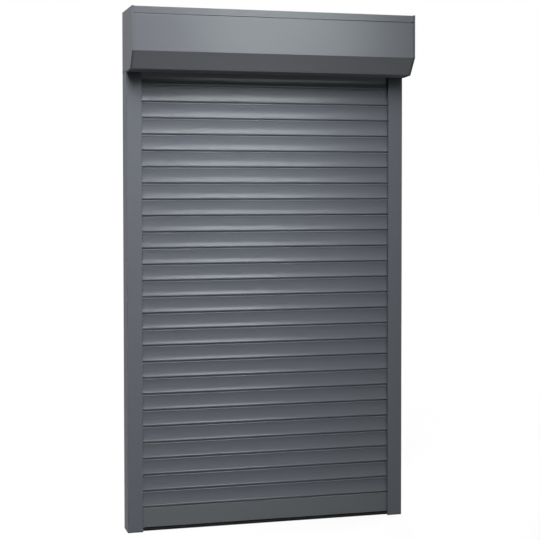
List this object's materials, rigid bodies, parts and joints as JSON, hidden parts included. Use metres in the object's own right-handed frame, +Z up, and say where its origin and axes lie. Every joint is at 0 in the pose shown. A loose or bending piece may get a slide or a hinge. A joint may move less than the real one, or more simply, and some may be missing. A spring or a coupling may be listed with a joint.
{
  "type": "exterior roller shutter",
  "caption": "Exterior roller shutter: a sloped-front head box on two guide rails, with a curtain of interlocking slats wound by a tubular motor.",
  "frame": {"origin": "on the sill plane, at the middle of the width and of the head box's depth", "axes": "+X along the head box, +Y towards the wall, +Z up"},
  "size_m": [0.698, 0.141, 1.248],
  "materials": {
    "rail_coat": "satin powder coat on extruded aluminium",
    "cap_coat": "satin powder coat on cast aluminium",
    "box_coat": "satin powder coat on formed sheet",
    "slat_coat": "satin coil coat on foam-filled slats",
    "end_slat_coat": "satin powder coat on extruded aluminium",
    "black_rubber": "matt",
    "black_plastic": "moulded",
    "grey_plastic": "moulded",
    "strap_band": "flat band",
    "zinc_steel": "galvanised",
    "bright_steel": "bright",
    "motor_tube": "white coat"
  },
  "bodies": {
    "casing": {"left_guide_rail": "rail_coat", "right_guide_rail": "rail_coat", "rail_gaskets": "black_rubber", "rail_inlets": "black_plastic", "rail_feet": "black_plastic", "left_end_cap": "cap_coat", "right_end_cap": "cap_coat", "back_panel": "box_coat", "top_panel": "box_coat", "panel_screws": "bright_steel", "cable_grommet": "black_rubber", "motor_bracket": "zinc_steel", "bearing_bracket": "zinc_steel", "bracket_screws": "bright_steel", "ball_bearing": "bright_steel", "motor_head": "black_plastic", "tubular_motor": "motor_tube"},
    "cover": {"front_cover": "box_coat"},
    "shaft": {"winding_shaft": "zinc_steel", "motor_spindle": "bright_steel", "motor_crown": "grey_plastic", "drive_adaptor": "grey_plastic", "shaft_capsule": "grey_plastic", "bearing_pin": "bright_steel", "hanger_clips": "strap_band"},
    "curtain_slat_01": {"slat_01": "slat_coat", "hanger_straps": "strap_band"},
    "curtain_slat_02": {"slat_02": "slat_coat"},
    "curtain_slat_03": {"slat_03": "slat_coat"},
    "curtain_slat_04": {"slat_04": "slat_coat"},
    "curtain_slat_05": {"slat_05": "slat_coat"},
    "curtain_slat_06": {"slat_06": "slat_coat"},
    "curtain_slat_07": {"slat_07": "slat_coat"},
    "curtain_slat_08": {"slat_08": "slat_coat"},
    "curtain_slat_09": {"slat_09": "slat_coat"},
    "curtain_slat_10": {"slat_10": "slat_coat"},
    "curtain_slat_11": {"slat_11": "slat_coat"},
    "curtain_slat_12": {"slat_12": "slat_coat"},
    "curtain_slat_13": {"slat_13": "slat_coat"},
    "curtain_slat_14": {"slat_14": "slat_coat"},
    "curtain_slat_15": {"slat_15": "slat_coat"},
    "curtain_slat_16": {"slat_16": "slat_coat"},
    "curtain_slat_17": {"slat_17": "slat_coat"},
    "curtain_slat_18": {"slat_18": "slat_coat"},
    "curtain_slat_19": {"slat_19": "slat_coat"},
    "curtain_slat_20": {"slat_20": "slat_coat"},
    "curtain_slat_21": {"slat_21": "slat_coat"},
    "curtain_slat_22": {"slat_22": "slat_coat"},
    "curtain_slat_23": {"slat_23": "slat_coat"},
    "curtain_slat_24": {"slat_24": "slat_coat"},
    "curtain_slat_25": {"slat_25": "slat_coat"},
    "curtain_slat_26": {"slat_26": "slat_coat"},
    "curtain_slat_27": {"slat_27": "slat_coat"},
    "curtain_end": {"end_slat": "end_slat_coat", "end_slat_seal": "black_rubber", "end_slat_plugs": "black_plastic"}
  },
  "joints": [
    {"name": "shaft_turn", "type": "hinge", "parent": "casing", "child": "shaft", "pos_m": [0, -0.00165, 1.182], "axis": [1, 0, 0], "range_deg": [0, 150]},
    {"name": "cover_swing", "type": "hinge", "parent": "casing", "child": "cover", "pos_m": [0, -0.067, 1.22825], "axis": [-1, 0, 0], "range_deg": [0, 70]},
    {"name": "lift_slat_01", "type": "slide", "parent": "casing", "child": "curtain_slat_01", "axis": [0, 0, 1], "range_m": [0, 0.05864], "deforming": ["hanger_straps"]},
    {"name": "lift_slat_02", "type": "slide", "parent": "casing", "child": "curtain_slat_02", "axis": [0, 0, 1], "range_m": [0, 0.05714]},
    {"name": "lift_slat_03", "type": "slide", "parent": "casing", "child": "curtain_slat_03", "axis": [0, 0, 1], "range_m": [0, 0.05564]},
    {"name": "lift_slat_04", "type": "slide", "parent": "casing", "child": "curtain_slat_04", "axis": [0, 0, 1], "range_m": [0, 0.05414]},
    {"name": "lift_slat_05", "type": "slide", "parent": "casing", "child": "curtain_slat_05", "axis": [0, 0, 1], "range_m": [0, 0.05264]},
    {"name": "lift_slat_06", "type": "slide", "parent": "casing", "child": "curtain_slat_06", "axis": [0, 0, 1], "range_m": [0, 0.05114]},
    {"name": "lift_slat_07", "type": "slide", "parent": "casing", "child": "curtain_slat_07", "axis": [0, 0, 1], "range_m": [0, 0.04964]},
    {"name": "lift_slat_08", "type": "slide", "parent": "casing", "child": "curtain_slat_08", "axis": [0, 0, 1], "range_m": [0, 0.04814]},
    {"name": "lift_slat_09", "type": "slide", "parent": "casing", "child": "curtain_slat_09", "axis": [0, 0, 1], "range_m": [0, 0.04664]},
    {"name": "lift_slat_10", "type": "slide", "parent": "casing", "child": "curtain_slat_10", "axis": [0, 0, 1], "range_m": [0, 0.04514]},
    {"name": "lift_slat_11", "type": "slide", "parent": "casing", "child": "curtain_slat_11", "axis": [0, 0, 1], "range_m": [0, 0.04364]},
    {"name": "lift_slat_12", "type": "slide", "parent": "casing", "child": "curtain_slat_12", "axis": [0, 0, 1], "range_m": [0, 0.04214]},
    {"name": "lift_slat_13", "type": "slide", "parent": "casing", "child": "curtain_slat_13", "axis": [0, 0, 1], "range_m": [0, 0.04064]},
    {"name": "lift_slat_14", "type": "slide", "parent": "casing", "child": "curtain_slat_14", "axis": [0, 0, 1], "range_m": [0, 0.03914]},
    {"name": "lift_slat_15", "type": "slide", "parent": "casing", "child": "curtain_slat_15", "axis": [0, 0, 1], "range_m": [0, 0.03764]},
    {"name": "lift_slat_16", "type": "slide", "parent": "casing", "child": "curtain_slat_16", "axis": [0, 0, 1], "range_m": [0, 0.03614]},
    {"name": "lift_slat_17", "type": "slide", "parent": "casing", "child": "curtain_slat_17", "axis": [0, 0, 1], "range_m": [0, 0.03464]},
    {"name": "lift_slat_18", "type": "slide", "parent": "casing", "child": "curtain_slat_18", "axis": [0, 0, 1], "range_m": [0, 0.03314]},
    {"name": "lift_slat_19", "type": "slide", "parent": "casing", "child": "curtain_slat_19", "axis": [0, 0, 1], "range_m": [0, 0.03164]},
    {"name": "lift_slat_20", "type": "slide", "parent": "casing", "child": "curtain_slat_20", "axis": [0, 0, 1], "range_m": [0, 0.03014]},
    {"name": "lift_slat_21", "type": "slide", "parent": "casing", "child": "curtain_slat_21", "axis": [0, 0, 1], "range_m": [0, 0.02864]},
    {"name": "lift_slat_22", "type": "slide", "parent": "casing", "child": "curtain_slat_22", "axis": [0, 0, 1], "range_m": [0, 0.02714]},
    {"name": "lift_slat_23", "type": "slide", "parent": "casing", "child": "curtain_slat_23", "axis": [0, 0, 1], "range_m": [0, 0.02564]},
    {"name": "lift_slat_24", "type": "slide", "parent": "casing", "child": "curtain_slat_24", "axis": [0, 0, 1], "range_m": [0, 0.02414]},
    {"name": "lift_slat_25", "type": "slide", "parent": "casing", "child": "curtain_slat_25", "axis": [0, 0, 1], "range_m": [0, 0.02264]},
    {"name": "lift_slat_26", "type": "slide", "parent": "casing", "child": "curtain_slat_26", "axis": [0, 0, 1], "range_m": [0, 0.02114]},
    {"name": "lift_slat_27", "type": "slide", "parent": "casing", "child": "curtain_slat_27", "axis": [0, 0, 1], "range_m": [0, 0.01964]},
    {"name": "lift_end", "type": "slide", "parent": "casing", "child": "curtain_end", "axis": [0, 0, 1], "range_m": [0, 0.01814]}
  ],
  "couplings": [
    {"joint": "lift_slat_01", "follows": "shaft_turn", "m_per_rad": 0.022398},
    {"joint": "lift_slat_02", "follows": "shaft_turn", "m_per_rad": 0.021825},
    {"joint": "lift_slat_03", "follows": "shaft_turn", "m_per_rad": 0.021252},
    {"joint": "lift_slat_04", "follows": "shaft_turn", "m_per_rad": 0.020679},
    {"joint": "lift_slat_05", "follows": "shaft_turn", "m_per_rad": 0.020106},
    {"joint": "lift_slat_06", "follows": "shaft_turn", "m_per_rad": 0.019533},
    {"joint": "lift_slat_07", "follows": "shaft_turn", "m_per_rad": 0.01896},
    {"joint": "lift_slat_08", "follows": "shaft_turn", "m_per_rad": 0.018387},
    {"joint": "lift_slat_09", "follows": "shaft_turn", "m_per_rad": 0.017814},
    {"joint": "lift_slat_10", "follows": "shaft_turn", "m_per_rad": 0.017241},
    {"joint": "lift_slat_11", "follows": "shaft_turn", "m_per_rad": 0.016668},
    {"joint": "lift_slat_12", "follows": "shaft_turn", "m_per_rad": 0.016095},
    {"joint": "lift_slat_13", "follows": "shaft_turn", "m_per_rad": 0.015522},
    {"joint": "lift_slat_14", "follows": "shaft_turn", "m_per_rad": 0.014949},
    {"joint": "lift_slat_15", "follows": "shaft_turn", "m_per_rad": 0.014376},
    {"joint": "lift_slat_16", "follows": "shaft_turn", "m_per_rad": 0.013803},
    {"joint": "lift_slat_17", "follows": "shaft_turn", "m_per_rad": 0.013231},
    {"joint": "lift_slat_18", "follows": "shaft_turn", "m_per_rad": 0.012658},
    {"joint": "lift_slat_19", "follows": "shaft_turn", "m_per_rad": 0.012085},
    {"joint": "lift_slat_20", "follows": "shaft_turn", "m_per_rad": 0.011512},
    {"joint": "lift_slat_21", "follows": "shaft_turn", "m_per_rad": 0.010939},
    {"joint": "lift_slat_22", "follows": "shaft_turn", "m_per_rad": 0.010366},
    {"joint": "lift_slat_23", "follows": "shaft_turn", "m_per_rad": 0.0097928},
    {"joint": "lift_slat_24", "follows": "shaft_turn", "m_per_rad": 0.0092198},
    {"joint": "lift_slat_25", "follows": "shaft_turn", "m_per_rad": 0.0086469},
    {"joint": "lift_slat_26", "follows": "shaft_turn", "m_per_rad": 0.0080739},
    {"joint": "lift_slat_27", "follows": "shaft_turn", "m_per_rad": 0.0075009},
    {"joint": "lift_end", "follows": "shaft_turn", "m_per_rad": 0.006928}
  ]
}
